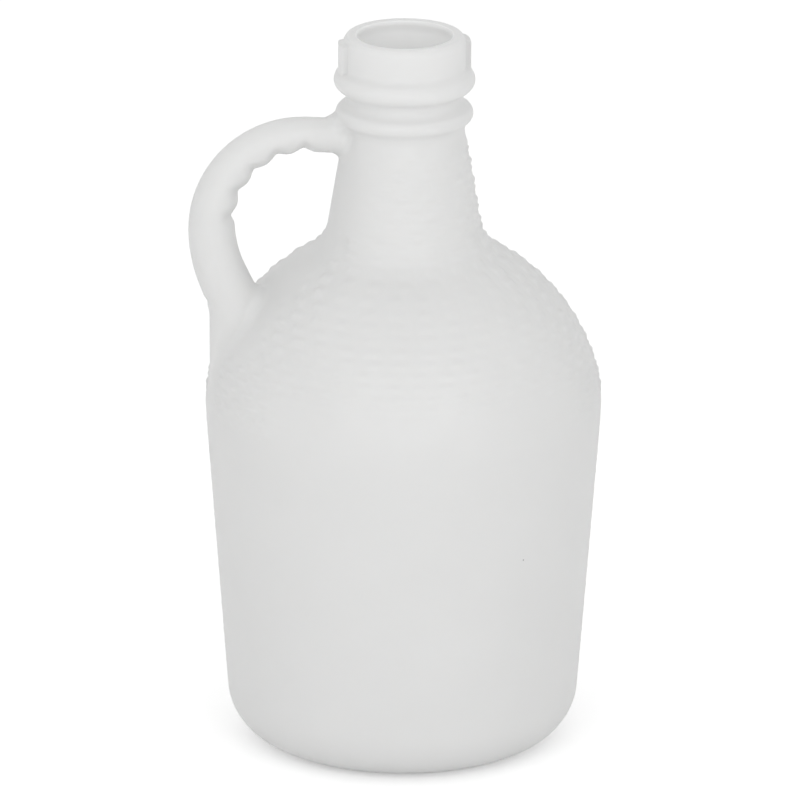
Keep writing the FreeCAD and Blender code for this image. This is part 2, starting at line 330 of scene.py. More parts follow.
class Course:
    """The handle's centre line in the XZ plane, from inside the neck to inside the shoulder."""

    def __init__(self):
        foot_height = WIDEST_HEIGHT + FOOT_RISE
        body_at_foot = low_centre[0] + math.sqrt(LOW_SHOULDER_RADIUS ** 2 - FOOT_RISE ** 2)
        lean = math.radians(LEG_LEAN)
        far_x = LOOP_CENTRE[0] - LOOP_RADIUS
        foot_x = FOOT_SECTION + FOOT_COVER - body_at_foot
        bends = LEAN_RADIUS + FOOT_BEND_RADIUS
        run = (foot_x - far_x - bends * (1 - math.cos(lean))) / math.sin(lean)
        upright = LOOP_CENTRE[1] - bends * math.sin(lean) - run * math.cos(lean) - foot_height
        loop_length = math.radians(90 - LOOP_START) * LOOP_RADIUS
        runs = [ROOT_RUN, loop_length, LEAN_RADIUS * lean, run, FOOT_BEND_RADIUS * lean, upright]
        headings = [180 + LOOP_START, 180 + LOOP_START, 270, 270 + LEG_LEAN, 270 + LEG_LEAN, 270, 270]
        breaks = np.concatenate(([0.0], np.cumsum(runs)))
        self.length = np.arange(0.0, breaks[-1], OUTLINE_STEP * 2)
        heading = np.radians(np.interp(self.length, breaks, headings))
        self.travel = np.column_stack((np.cos(heading), np.sin(heading)))
        self.inward = np.column_stack((-np.sin(heading), np.cos(heading)))
        steps = (self.travel[1:] + self.travel[:-1]) / 2 * np.diff(self.length)[:, None]
        line_points = np.vstack(([0.0, 0.0], np.cumsum(steps, axis=0)))
        far = breaks[2]
        far_point = [np.interp(far, self.length, column) for column in line_points.T]
        self.line = line_points + np.array((far_x, LOOP_CENTRE[1])) - far_point
        self.loop_deg = 90 + np.degrees((self.length - far) / LOOP_RADIUS)
        grown = np.clip(self.loop_deg / 90, 0, 1)
        leg = np.clip((self.length - far) / LEG_GROWTH, 0, 1)
        self.section = (CROWN_SECTION + (SIDE_SECTION - CROWN_SECTION) * grown
                        + (FOOT_SECTION - SIDE_SECTION) * leg)

        # along the tail the section thins while its outer side keeps its course
        ahead = breaks[-1] - self.length
        thinned = (FOOT_SECTION - TAIL_SECTION) * smooth_step(ahead, TAIL_RUN + TAIL_LENGTH, TAIL_RUN)
        self.section = self.section - thinned
        self.centre = self.line - thinned[:, None] * self.inward
        self.thinning = np.gradient(thinned, self.length)

    def ring(self, length, turns, inset):
        """Points on the handle at a length, or one for each turn; turns go from its inner side to +Y."""
        index = np.minimum(np.searchsorted(self.length, length), len(self.length) - 1)
        radius = self.section[index] - inset - scallop(self.loop_deg[index], turns, inset)
        reach = radius * np.cos(turns)
        return np.column_stack((self.centre[index, 0] + reach * self.inward[index, 0],
                                radius * np.sin(turns),
                                self.centre[index, 1] + reach * self.inward[index, 1]))

    def length_at_height(self, height):
        """Length at which the leg passes a height."""
        leg = self.loop_deg >= 90
        return float(np.interp(-height, -self.line[leg, 1], self.length[leg]))

    def length_at_degrees(self, degrees):
        return float(np.interp(degrees, self.loop_deg, self.length))


def smooth_step(value, start, end):
    t = np.clip((value - start) / (end - start), 0, 1)
    return t * t * (3 - 2 * t)


def scallop(loop_deg, turns, inset):
    """Depth of the finger scallops under the crown, deepest along the inner side."""
    turn = (loop_deg - SCALLOP_FIRST) / SCALLOP_PITCH
    bump = np.sqrt(np.sin(np.pi * turn) ** 2 + SCALLOP_SOFTNESS)
    reach = smooth_step(turn, *SCALLOPS_RUN_IN) * (1 - smooth_step(turn, *SCALLOPS_RUN_OUT))
    inner = smooth_step(np.cos(turns), *SCALLOP_SIDES)
    depth = SCALLOP_DEPTH * (1 - np.clip(bump, 0, 1)) * reach * inner
    return depth if inset == 0 else depth * INSIDE_SCALLOP_SHARE


course = Course()

# ---- distances, for the blends where the handle meets the neck and the shoulder ---------------

SLICE = 2000
WALL_STRIDE = 6
COURSE_STRIDE = 4
ENTRY_STEPS = 240
LARGEST_MOVE = 0.0015
FLATTEST, SHARPEST = -0.97, 0.9999


def nearest(table, points):
    """Index of the nearest table row for each point, a slice of points at a time."""
    found = np.empty(len(points), int)
    for first in range(0, len(points), SLICE):
        part = points[first:first + SLICE]
        away = ((part[:, None, :] - table[None, :, :]) ** 2).sum(2)
        found[first:first + SLICE] = away.argmin(1)
    return found


class Joint:
    """The union of the body and the handle round one end of the handle, with a rolling-ball fillet."""

    def __init__(self, first, last, course_start, course_end, blend, inset):
        inside = (outline.lengths >= outline.start[first]) & (outline.lengths <= outline.end[last])
        inside &= outline.points[:, 1] > LOWEST_JOINT
        self.wall = outline.points[inside][::WALL_STRIDE]
        self.wall_normal = outline.normals[inside][::WALL_STRIDE]
        self.wall_length = outline.lengths[inside][::WALL_STRIDE]
        if inset:
            self.wall_normal = -self.wall_normal
        travel = np.gradient(self.wall, self.wall_length, axis=0)
        self.wall_travel = travel / np.linalg.norm(travel, axis=1)[:, None]
        part = (course.length >= course_start) & (course.length <= course_end)
        self.part = np.flatnonzero(part)[::COURSE_STRIDE]
        self.far_end = course.length[self.part[0 if course_start == 0 else -1]]
        self.blend = blend
        self.inset = inset

    def body(self, points):
        """Distance from the body, the direction away from it and the length along its outline."""
        across = np.hypot(points[:, 0], points[:, 1])
        flat = np.column_stack((across, points[:, 2]))
        index = nearest(self.wall, flat)
        offset = flat - self.wall[index]
        normal = self.wall_normal[index]
        radial = normal[:, 0] / np.maximum(across, 0.0001)
        away = np.column_stack((radial * points[:, 0], radial * points[:, 1], normal[:, 1]))
        length = self.wall_length[index] + (offset * self.wall_travel[index]).sum(1)
        return (offset * normal).sum(1), away, length

    def handle(self, points):
        """Distance from the handle and the direction away from it."""
        flat = points[:, [0, 2]]
        index = self.part[nearest(course.line[self.part], flat)]
        offset = flat - course.centre[index]
        inward = (offset * course.inward[index]).sum(1)
        ahead = ((flat - course.line[index]) * course.travel[index]).sum(1)
        reach = np.maximum(np.hypot(inward, points[:, 1]), 0.0001)
        turns = np.arctan2(points[:, 1], inward)
        radius = course.section[index] - self.inset - scallop(course.loop_deg[index], turns, self.inset)
        slope = course.thinning[index] * (1 + inward / reach)
        size = np.hypot(1, slope)
        away = (course.inward[index] * (inward / reach)[:, None]
                + course.travel[index] * slope[:, None]) / size[:, None]
        away = np.column_stack((away[:, 0], points[:, 1] / reach / size, away[:, 1]))
        return (reach - radius + ahead * slope) / size, away

    def value(self, points):
        """Distance from the filleted union, and the direction away from it."""
        body, from_body, _ = self.body(points)
        handle, from_handle = self.handle(points)
        cosine = np.clip((from_body * from_handle).sum(1), FLATTEST, SHARPEST)
        short_of_body = self.blend - body
        short_of_handle = self.blend - handle
        spread = 1 - cosine ** 2
        body_share = (short_of_body - cosine * short_of_handle) / spread
        handle_share = (short_of_handle - cosine * short_of_body) / spread
        in_fillet = (body_share > 0) & (handle_share > 0)
        toward = body_share[:, None] * from_body + handle_share[:, None] * from_handle
        depth = np.maximum(np.linalg.norm(toward, axis=1), 0.00001)
        nearer = np.where((body < handle)[:, None], from_body, from_handle)
        value = np.where(in_fillet, self.blend - depth, np.minimum(body, handle))
        return value, np.where(in_fillet[:, None], toward / depth[:, None], nearer)

    def settle(self, points, rounds):
        """Moves points onto the filleted union."""
        for _ in range(rounds):
            value, away = self.value(points)
            points = points - np.clip(value, -LARGEST_MOVE, LARGEST_MOVE)[:, None] * away
        return points

    def entry(self, station, turns):
        """Lengths along the handle where lines on its surface, from a station on, enter the body."""
        lengths = np.linspace(station, self.far_end, ENTRY_STEPS)
        all_points = np.vstack([course.ring(np.full(len(turns), length), turns, self.inset)
                                for length in lengths])
        away = self.body(all_points)[0].reshape(len(lengths), len(turns))
        first = np.argmax(away < 0, axis=0)
        first = np.where((away < 0).any(axis=0), first, len(lengths) - 1)
        first = np.maximum(first, 1)
        column = np.arange(len(turns))
        before, after = away[first - 1, column], away[first, column]
        share = np.clip(before / np.maximum(before - after, 0.0000001), 0, 1)
        return lengths[first - 1] + share * (lengths[first] - lengths[first - 1])


# ---- wicker relief ---------------------------------------------------------------------

weave_random = np.random.default_rng(11)
ROWS_BELOW = 40
ROWS_ABOVE = 40
NECK_WEAVE_ROW = ROWS_BELOW + 16
MOST_SCALES = 97
LARGEST_SHIFT = 0.06
LOWEST_SCALE = 0.75
row_shift = weave_random.uniform(-LARGEST_SHIFT, LARGEST_SHIFT, ROWS_BELOW + ROWS_ABOVE)
scale_gain = weave_random.uniform(LOWEST_SCALE, 1.0, (ROWS_BELOW + ROWS_ABOVE, MOST_SCALES))
row_radii = np.array([outline.radius_at_height(WEAVE_LEVEL + (row - ROWS_BELOW) * WEAVE_PITCH)
                      for row in range(ROWS_BELOW + ROWS_ABOVE)])


def weave(theta, height):
    """Height of the wicker relief above the mean surface, before it fades near the handle.

    Strands lie in rows of equal height and pass over every second stake. Neighbouring rows
    are half a scale apart, and the pattern mirrors across the parting plane. The front and back
    panels under the shoulder stay plain, and so do the strips beside the neck and in the eye.
    """
    rows = (height - WEAVE_LEVEL) / WEAVE_PITCH + ROWS_BELOW + 0.5
    row = np.clip(np.floor(rows).astype(int), 0, ROWS_BELOW + ROWS_ABOVE - 1)
    across = np.sin(np.pi * rows) ** 2
    scales = np.maximum(np.round(np.pi * row_radii[row] / WEAVE_LENGTH), 1)
    offset = 0.5 * ((row - ROWS_BELOW + (row >= NECK_WEAVE_ROW)) % 2)
    turn = ((np.abs(theta) - WEAVE_ANCHOR) * scales / (np.pi - 2 * WEAVE_ANCHOR)
            + offset + row_shift[row])
    scale = np.floor(turn + 0.5).astype(int) % MOST_SCALES
    lift = smooth_step(np.cos(2 * np.pi * turn), *SCALE_RISE) * scale_gain[row, scale]
    relief = across * (STRAND_SHARE + (1 - STRAND_SHARE) * lift) - SUNK_SHARE
    depth = SIDE_WEAVE_DEPTH + (WEAVE_DEPTH - SIDE_WEAVE_DEPTH) * smooth_step(height, *SIDES_TOP)
    ends = smooth_step(height, *WEAVE_FOOT) * (1 - smooth_step(height, *WEAVE_TOP))
    from_front = np.abs(np.abs(theta) - np.pi / 2)
    turned = FRONT_SHARE + (1 - FRONT_SHARE) * smooth_step(from_front, *FRONT_TURN)
    panel_side = smooth_step(from_front, PANEL_HALF_ANGLE - PANEL_EDGE, PANEL_HALF_ANGLE + PANEL_EDGE)
    panel = (1 - smooth_step(height, *PANEL_TOP)) * (1 - panel_side)
    from_handle = np.pi - np.abs(theta)
    by_neck = (1 - smooth_step(from_handle, *NECK_STRIP_TURN)) * smooth_step(height, *NECK_STRIP_LOW)
    in_eye = (1 - smooth_step(from_handle, *EYE_STRIP_TURN)) * smooth_step(height, *EYE_STRIP_LOW)
    return relief * depth * turned * (1 - panel) * ends * (1 - by_neck) * (1 - in_eye)


# ---- net of points and faces ---------------------------------------------------------------

DENSE = 384
MIDDLE = DENSE // 2
COARSE = DENSE // 4
DENSE_TOP = 0.1375
TUBE = 58
INSIDE_TUBE = 32

# distances between rows along the outline, and between the handle's own rings
WEAVE_SPACING = WEAVE_PITCH / 5
SIDE_SPACING = WEAVE_PITCH / 3
RECESS_SPACING = 0.004
HEEL_SPACING = 0.0013
FINISH_SPACING = 0.0005
LIP_EDGE_SPACING = 0.0003
BORE_SPACING = 0.0015
INSIDE_SPACING = 0.0026
INSIDE_BASE_SPACING = 0.003
TUBE_SPACING = 0.0008
INSIDE_TUBE_SPACING = 0.0020

# openings for the handle: the height of the first row, the rows, the columns round and half the
# columns taken out
FOOT_OPENING = (0.0963, 64, DENSE, 26)
ROOT_OPENING = (0.1600, 32, MIDDLE, 13)
INNER_ROOT_OPENING = (0.1730, 6, COARSE, 5)
INNER_FOOT_OPENING = (0.1310, 18, COARSE, 7)

# bridges from the openings to the handle: the points of each ring over the body, of each ring
# over the handle, and the rounds of easing
ROOT_BRIDGE = ([2 * TUBE] * 8, [2 * TUBE] * 2 + [TUBE] * 4, 8)
FOOT_BRIDGE = ([4 * TUBE] * 15, [2 * TUBE] * 4 + [TUBE] * 10, 8)
INNER_ROOT_BRIDGE = ([INSIDE_TUBE] * 2, [INSIDE_TUBE] * 2, 3)
INNER_FOOT_BRIDGE = ([2 * INSIDE_TUBE] * 4, [INSIDE_TUBE] * 6, 4)
FIRST_SETTLES = 8
EASED_SETTLES = 2
LAST_SETTLES = 3
EASE = 0.6

# the handle's own rings run from an angle round the loop to a height of the leg, and each joint
# looks at the handle on its side of the crown
ROOT_STATION_DEG = -15.0
FOOT_STATION_HEIGHT = 0.1290
ROOT_JOINT_END_DEG = 30
FOOT_JOINT_START_DEG = 60


class Net:
    """Gathers points and the faces between them."""

    def __init__(self):
        self.points = []
        self.faces = []
        self.count = 0
        self.foot_bridge = None
        self.inside = set()

    def add(self, points):
        index = np.arange(self.count, self.count + len(points))
        self.points.append(np.asarray(points, float))
        self.count += len(points)
        return index

    def join(self, low, high, skip=None):
        """Faces between two closed rings, where one may have twice the points of the other."""
        if len(low) == len(high):
            for j in range(len(low)):
                if skip is None or not skip[0] <= j < skip[1]:
                    k = (j + 1) % len(low)
                    self.faces.append((low[j], low[k], high[k], high[j]))
            return
        fine, coarse = (low, high) if len(low) > len(high) else (high, low)
        for j in range(len(coarse)):
            k = (j + 1) % len(coarse)
            first, middle, last = fine[2 * j], fine[2 * j + 1], fine[(2 * j + 2) % len(fine)]
            self.faces.append((first, middle, coarse[j]))
            self.faces.append((middle, coarse[k], coarse[j]))
            self.faces.append((middle, last, coarse[k]))


def spaced(start, end, spacing):
    """Lengths from start up to but not including end, about spacing apart."""
    count = max(1, round((end - start) / spacing))
    return list(np.linspace(start, end, count + 1)[:-1])


def row_plan():
    """The length along the outline and the number of columns of each row of the net."""
    shoulder_start = outline.start["low_shoulder"]
    neck_end = outline.points[np.searchsorted(outline.lengths, outline.end["neck"]), 1]
    woven = [outline.length_at_height(height, "low_shoulder", "neck")
             for height in np.arange(WIDEST_HEIGHT, neck_end, WEAVE_SPACING)]
    last = woven.pop()
    plan = [
        (spaced(RECESS_SPACING, outline.start["foot"], RECESS_SPACING), COARSE),
        (spaced(outline.start["foot"], outline.end["heel"], HEEL_SPACING), MIDDLE),
        (spaced(outline.start["side"], shoulder_start, SIDE_SPACING), MIDDLE),
        ([length for length in woven if outline.at(length)[1] < DENSE_TOP], DENSE),
        ([length for length in woven if outline.at(length)[1] >= DENSE_TOP], MIDDLE),
        (spaced(last, outline.end["lip"] - LIP_CREASE, FINISH_SPACING), MIDDLE),
        ([outline.end["lip"] - LIP_CREASE, outline.end["lip"]], MIDDLE),
        (spaced(outline.end["lip"] + LIP_CREASE, outline.end["lip_top"], FINISH_SPACING), MIDDLE),
        (spaced(outline.start["lip_edge"], outline.start["flange"], LIP_EDGE_SPACING), MIDDLE),
        (spaced(outline.start["flange"], outline.end["bore"], BORE_SPACING), COARSE),
        (spaced(outline.start["inside_neck"], outline.end["inside_side"], INSIDE_SPACING), COARSE),
        (spaced(outline.start["inside_heel"], outline.end["inside_recess"] - RECESS_SPACING,
                INSIDE_BASE_SPACING), COARSE),
    ]
    lengths = np.array([length for part, _ in plan for length in part])
    columns = np.array([count for part, count in plan for _ in part])
    return lengths, columns


def rim(rows, opening, from_last):
    """Points round a rectangular opening in the rows, from the middle of its first or last row."""
    first, last, middle, half = opening
    left = middle - half
    right = middle + half
    near, far = (last, first) if from_last else (first, last)
    step = 1 if far > near else -1
    cells = [(near, column) for column in range(middle, left, -1)]
    cells += [(row, left) for row in range(near, far, step)]
    cells += [(far, column) for column in range(left, right)]
    cells += [(row, right) for row in range(far, near, -step)]
    cells += [(near, column) for column in range(right, middle, -1)]
    return np.array([rows[row][column] for row, column in cells])


def bridge(net, joint, edge, station, body_counts, handle_counts, relax):
    """Rows of points from the rim of an opening to the handle's first ring, on the filleted union."""
    start = np.vstack(net.points)[edge]
    turns = np.arange(len(edge)) * 2 * np.pi / len(edge)
    entry = joint.entry(station, turns)
    crease = course.ring(entry, turns, joint.inset)
    start_place = np.column_stack((np.arctan2(start[:, 1], -start[:, 0]), joint.body(start)[2]))
    crease_place = np.column_stack((np.arctan2(crease[:, 1], -crease[:, 0]), joint.body(crease)[2]))
    rings = []
    for number, count in enumerate(body_counts, 1):
        share = number / (len(body_counts) + 0.5)
        place = (start_place * (1 - share) + crease_place * share)[::len(edge) // count]
        radius, height, _, _ = outline.at(place[:, 1])
        rings.append(np.column_stack((-radius * np.cos(place[:, 0]), radius * np.sin(place[:, 0]),
                                      height)))
    for number, count in enumerate(handle_counts, 1):
        share = (number - 0.5) / (len(handle_counts) + 0.5)
        stride = len(edge) // count
        rings.append(course.ring((entry * (1 - share) + station * share)[::stride], turns[::stride],
                                 joint.inset))
    last = course.ring(station, turns[::len(edge) // handle_counts[-1]], joint.inset)
    sizes = np.cumsum([0] + [len(ring) for ring in rings])
    settled = joint.settle(np.vstack(rings), FIRST_SETTLES)
    for _ in range(relax):
        rings = [settled[sizes[n]:sizes[n + 1]] for n in range(len(rings))]
        eased = []
        for number, ring in enumerate(rings):
            below = start if number == 0 else rings[number - 1]
            above = last if number == len(rings) - 1 else rings[number + 1]
            below = below[::len(below) // len(ring)]
            total = np.roll(ring, 1, 0) + np.roll(ring, -1, 0) + below
            weight = 3
            if len(above) == len(ring):
                total = total + above
                weight += 1
            eased.append(ring * (1 - EASE) + total / weight * EASE)
        settled = joint.settle(np.vstack(eased), EASED_SETTLES)
    settled = joint.settle(settled, LAST_SETTLES)
    return [settled[sizes[n]:sizes[n + 1]] for n in range(len(rings))]


def ribbed(points, height):
    """Lifts the finish to the two ribs on its parting line."""
    radius = np.hypot(points[:, 0], points[:, 1])
    on_rib = (height > RING_HEIGHT) & (height < RIB_TOP)
    on_rib &= np.abs(points[:, 1]) < RIB_HALF_WIDTH + RIB_MARGIN
    drop = np.clip(height - (RIB_TOP - RIB_ROUNDING), 0, RIB_ROUNDING)
    rib = RIB_RADIUS - RIB_ROUNDING + np.sqrt(np.maximum(RIB_ROUNDING ** 2 - drop ** 2, 0))
    grow = np.where(on_rib & (rib > radius), rib / np.maximum(radius, 0.001), 1.0)
    return points * np.column_stack((grow, grow, np.ones(len(points))))


def ring_points(length, columns):
    theta = np.arange(columns) * 2 * np.pi / columns
    radius, height, _, _ = outline.at(length)
    return np.column_stack((radius * np.cos(theta), radius * np.sin(theta), np.full(columns, height)))


def placed_opening(heights, opening):
    """The first and last row of an opening, its middle column and half the columns taken out."""
    height, row_count, columns, half = opening
    first = int(np.argmin(np.abs(heights - height)))
    return first, first + row_count, columns // 2, half


def skin():
    """The whole skin of the jug as points and faces, before the relief is added."""
    net = Net()
    lengths, columns = row_plan()
    rows = [net.add(ring_points(length, count)) for length, count in zip(lengths, columns)]

    heights = np.array([outline.at(length)[1] for length in lengths])
    outer = lengths < outline.start["lip_edge"]
    outer_heights = np.where(outer, heights, 0)
    inner_heights = np.where(outer, 0, heights)
    foot_opening = placed_opening(outer_heights, FOOT_OPENING)
    root_opening = placed_opening(outer_heights, ROOT_OPENING)
    inner_root_opening = placed_opening(inner_heights, INNER_ROOT_OPENING)
    inner_foot_opening = placed_opening(inner_heights, INNER_FOOT_OPENING)
    skips = {}
    for first, last, middle, half in (foot_opening, root_opening, inner_root_opening,
                                      inner_foot_opening):
        for row in range(first, last):
            skips[row] = (middle - half, middle + half)
    for number in range(len(rows) - 1):
        net.join(rows[number], rows[number + 1], skips.get(number))
    for number, length in enumerate(lengths):
        if length >= outline.start["lip_edge"]:
            net.inside.update(rows[number].tolist())

    pole_low = net.add([(0, 0, RECESS_DEPTH)])[0]
    pole_high = net.add([(0, 0, RECESS_DEPTH + WALL)])[0]
    for ring, pole in ((rows[0], pole_low), (rows[-1], pole_high)):
        for j in range(len(ring)):
            net.faces.append((ring[j], ring[(j + 1) % len(ring)], pole))

    near_root = course.length_at_degrees(ROOT_JOINT_END_DEG)
    past_crown = course.length_at_degrees(FOOT_JOINT_START_DEG)
    course_end = course.length[-1]
    root_station = course.length_at_degrees(ROOT_STATION_DEG)
    foot_station = course.length_at_height(FOOT_STATION_HEIGHT)
    root = Joint("high_shoulder", "groove", 0.0, near_root, ROOT_BLEND, 0.0)
    foot = Joint("side", "neck_fillet", past_crown, course_end, FOOT_BLEND, 0.0)
    inner_root = Joint("bore", "inside_neck_fillet", 0.0, near_root, INSIDE_BLEND, WALL)
    inner_foot = Joint("inside_neck_fillet", "inside_side", past_crown, course_end, INSIDE_BLEND, WALL)
    add_handle(
        net, TUBE, TUBE_SPACING,
        (root, rim(rows, root_opening, False), root_station, *ROOT_BRIDGE),
        (foot, rim(rows, foot_opening, True), foot_station, *FOOT_BRIDGE))
    first_inside = net.count
    add_handle(
        net, INSIDE_TUBE, INSIDE_TUBE_SPACING,
        (inner_root, rim(rows, inner_root_opening, True), root_station, *INNER_ROOT_BRIDGE),
        (inner_foot, rim(rows, inner_foot_opening, False), foot_station, *INNER_FOOT_BRIDGE))
    net.inside.update(range(first_inside, net.count))
    net.inside.add(int(pole_high))
    return net, rows, lengths, columns, (root, foot)


def add_handle(net, columns, spacing, root, foot):
    """The handle's tube between two stations, and the bridges to its openings."""
    root_joint, _, root_station = root[:3]
    foot_joint, _, foot_station = foot[:3]
    turns = np.arange(columns) * 2 * np.pi / columns
    inset = root_joint.inset
    stations = spaced(root_station, foot_station, spacing) + [foot_station]
    tube = [net.add(course.ring(station, turns, inset)) for station in stations]
    for low, high in zip(tube, tube[1:]):
        net.join(low, high)
    for joint, edge, station, body_counts, handle_counts, relax, end in (
            (*root, tube[0]), (*foot, tube[-1])):
        previous = edge
        first = net.count
        for ring in bridge(net, joint, edge, station, body_counts, handle_counts, relax):
            index = net.add(ring)
            net.join(previous, index)
            previous = index
        net.join(previous, end)
        if joint is foot_joint and inset == 0:
            net.foot_bridge = np.arange(first, net.count)


def clear_of_handle(points, joints):
    """0 on the handle and its blends, 1 where the plain body begins."""
    clear = np.ones(len(points))
    near = np.flatnonzero((points[:, 0] < 0) & (np.abs(points[:, 1]) < HANDLE_ZONE)
                          & (points[:, 2] > LOWEST_JOINT))
    for joint in joints:
        away = joint.handle(points[near])[0]
        clear_here = smooth_step(away, joint.blend / 2, joint.blend + WEAVE_GAP)
        clear[near] = np.minimum(clear[near], clear_here)
    return clear


def relieved(points, normals, joints):
    """Points moved along their normals by the wicker relief."""
    theta = np.arctan2(points[:, 1], points[:, 0])
    lift = weave(theta, points[:, 2]) * clear_of_handle(points, joints)
    moved = points + normals * lift[:, None]
    limit = np.minimum(1, BODY_RADIUS / np.maximum(np.hypot(moved[:, 0], moved[:, 1]), 0.001))
    return moved * np.column_stack((limit, limit, np.ones(len(points))))


def finish_skin():
    """The skin with its wicker relief and the ribs of its finish, and which faces lie inside."""
    net, rows, lengths, columns, joints = skin()
    points = np.vstack(net.points)
    woven = [number for number, length in enumerate(lengths)
             if outline.start["side"] < length < outline.end["neck"]]
    index = np.concatenate([rows[number] for number in woven])
    row_lengths = np.concatenate([np.full(columns[number], lengths[number]) for number in woven])
    _, _, radial, upward = outline.at(row_lengths)
    theta = np.arctan2(points[index, 1], points[index, 0])
    normals = np.column_stack((radial * np.cos(theta), radial * np.sin(theta), upward))
    points[index] = relieved(points[index], normals, joints)

    foot = joints[1]
    foot_rings = net.foot_bridge
    around = points[foot_rings]
    points[foot_rings] = relieved(around, foot.value(around)[1], joints)

    finish = np.concatenate([rows[number] for number, length in enumerate(lengths)
                             if outline.start["ring"] < length < outline.end["lip"]])
    points[finish] = ribbed(points[finish], points[finish, 2])
    inside = [all(int(corner) in net.inside for corner in face) for face in net.faces]
    return points, net.faces, inside


def make_mesh(name, points, faces, inside):
    """A closed mesh of the points in use, where faces of the inside take the second material."""
    used = np.unique(np.concatenate([np.array(face) for face in faces]))
    order = np.full(len(points), -1)
    order[used] = np.arange(len(used))
    mesh = bpy.data.meshes.new(name)
    mesh.from_pydata(points[used].tolist(), [], [[int(order[k]) for k in face] for face in faces])
    net = bmesh.new()
    net.from_mesh(mesh)
    for face, is_inside in zip(net.faces, inside):
        face.material_index = int(is_inside)
    bmesh.ops.recalc_face_normals(net, faces=net.faces)
    net.to_mesh(mesh)
    net.free()
    mesh.shade_smooth()
    return mesh


points, faces, inside = finish_skin()
jug = bpy.data.objects.new("milky_jug", make_mesh("milky_jug", points, faces, inside))
bpy.context.scene.collection.objects.link(jug)
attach(jug, "root")
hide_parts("jug")

# ---- camera -------------------------------------------------------------------------------

CAMERA_AZIMUTH = -9.5
CAMERA_ELEVATION = 18.7
CAMERA_DISTANCE = 2.9
CAMERA_LENS = 485.5
CAMERA_ROLL = 0.19
AIM = Vector((-0.00095, 0.0, 0.09402))


def direction(azimuth_deg, elevation_deg):
    """Unit vector away from the jug; azimuth 0 is straight in front and grows towards +X."""
    round_by = math.radians(azimuth_deg)
    rise = math.radians(elevation_deg)
    return Vector((math.sin(round_by) * math.cos(rise), -math.cos(round_by) * math.cos(rise),
                   math.sin(rise)))


toward = direction(CAMERA_AZIMUTH, CAMERA_ELEVATION)
camera_data = bpy.data.cameras.new("camera")
camera_data.lens = CAMERA_LENS
camera_data.sensor_width = 36
camera = bpy.data.objects.new("camera", camera_data)
camera.location = AIM + CAMERA_DISTANCE * toward
turn = toward.to_track_quat("Z", "Y").to_matrix().to_4x4()
camera.rotation_euler = (turn @ Matrix.Rotation(math.radians(CAMERA_ROLL), 4, "Z")).to_euler()
bpy.context.scene.collection.objects.link(camera)
bpy.context.scene.camera = camera

# ---- finishes -----------------------------------------------------------------------------


def add_node(tree, kind, values=None, **settings):
    """A shader node with its settings and the values of its unlinked inputs."""
    made = tree.nodes.new(kind)
    for name, setting in settings.items():
        setattr(made, name, setting)
    for name, value in (values or {}).items():
        made.inputs[name].default_value = value
    return made


def new_material(name):
    material = bpy.data.materials.new(name)
    material.use_nodes = True
    material.node_tree.nodes.clear()
    return material


THROUGH_SHARE = 0.35
PLASTIC_IOR = 1.51
SPECKLESS_SHARE = 0.72
FLOOR_LIFT = 0.30


def cloudy_tint():
    """A node group: the plastic's tint, which drifts in soft clouds from deep to pale."""
    group = bpy.data.node_groups.new("cloudy_tint", "ShaderNodeTree")
    for name, kind in (("Place", "Vector"), ("Scale", "Float"), ("Detail", "Float"),
                       ("Roughness", "Float"), ("Deep", "Color"), ("Pale", "Color")):
        group.interface.new_socket(name, in_out="INPUT", socket_type="NodeSocket" + kind)
    group.interface.new_socket("Tint", in_out="OUTPUT", socket_type="NodeSocketColor")
    given = add_node(group, "NodeGroupInput").outputs
    clouds = add_node(group, "ShaderNodeTexNoise")
    group.links.new(given["Place"], clouds.inputs["Vector"])
    for name in ("Scale", "Detail", "Roughness"):
        group.links.new(given[name], clouds.inputs[name])
    tint = add_node(group, "ShaderNodeMix", data_type="RGBA")
    group.links.new(clouds.outputs["Fac"], tint.inputs["Factor"])
    group.links.new(given["Deep"], tint.inputs["A"])
    group.links.new(given["Pale"], tint.inputs["B"])
    result = add_node(group, "NodeGroupOutput")
    group.links.new(tint.outputs["Result"], result.inputs["Tint"])
    return group


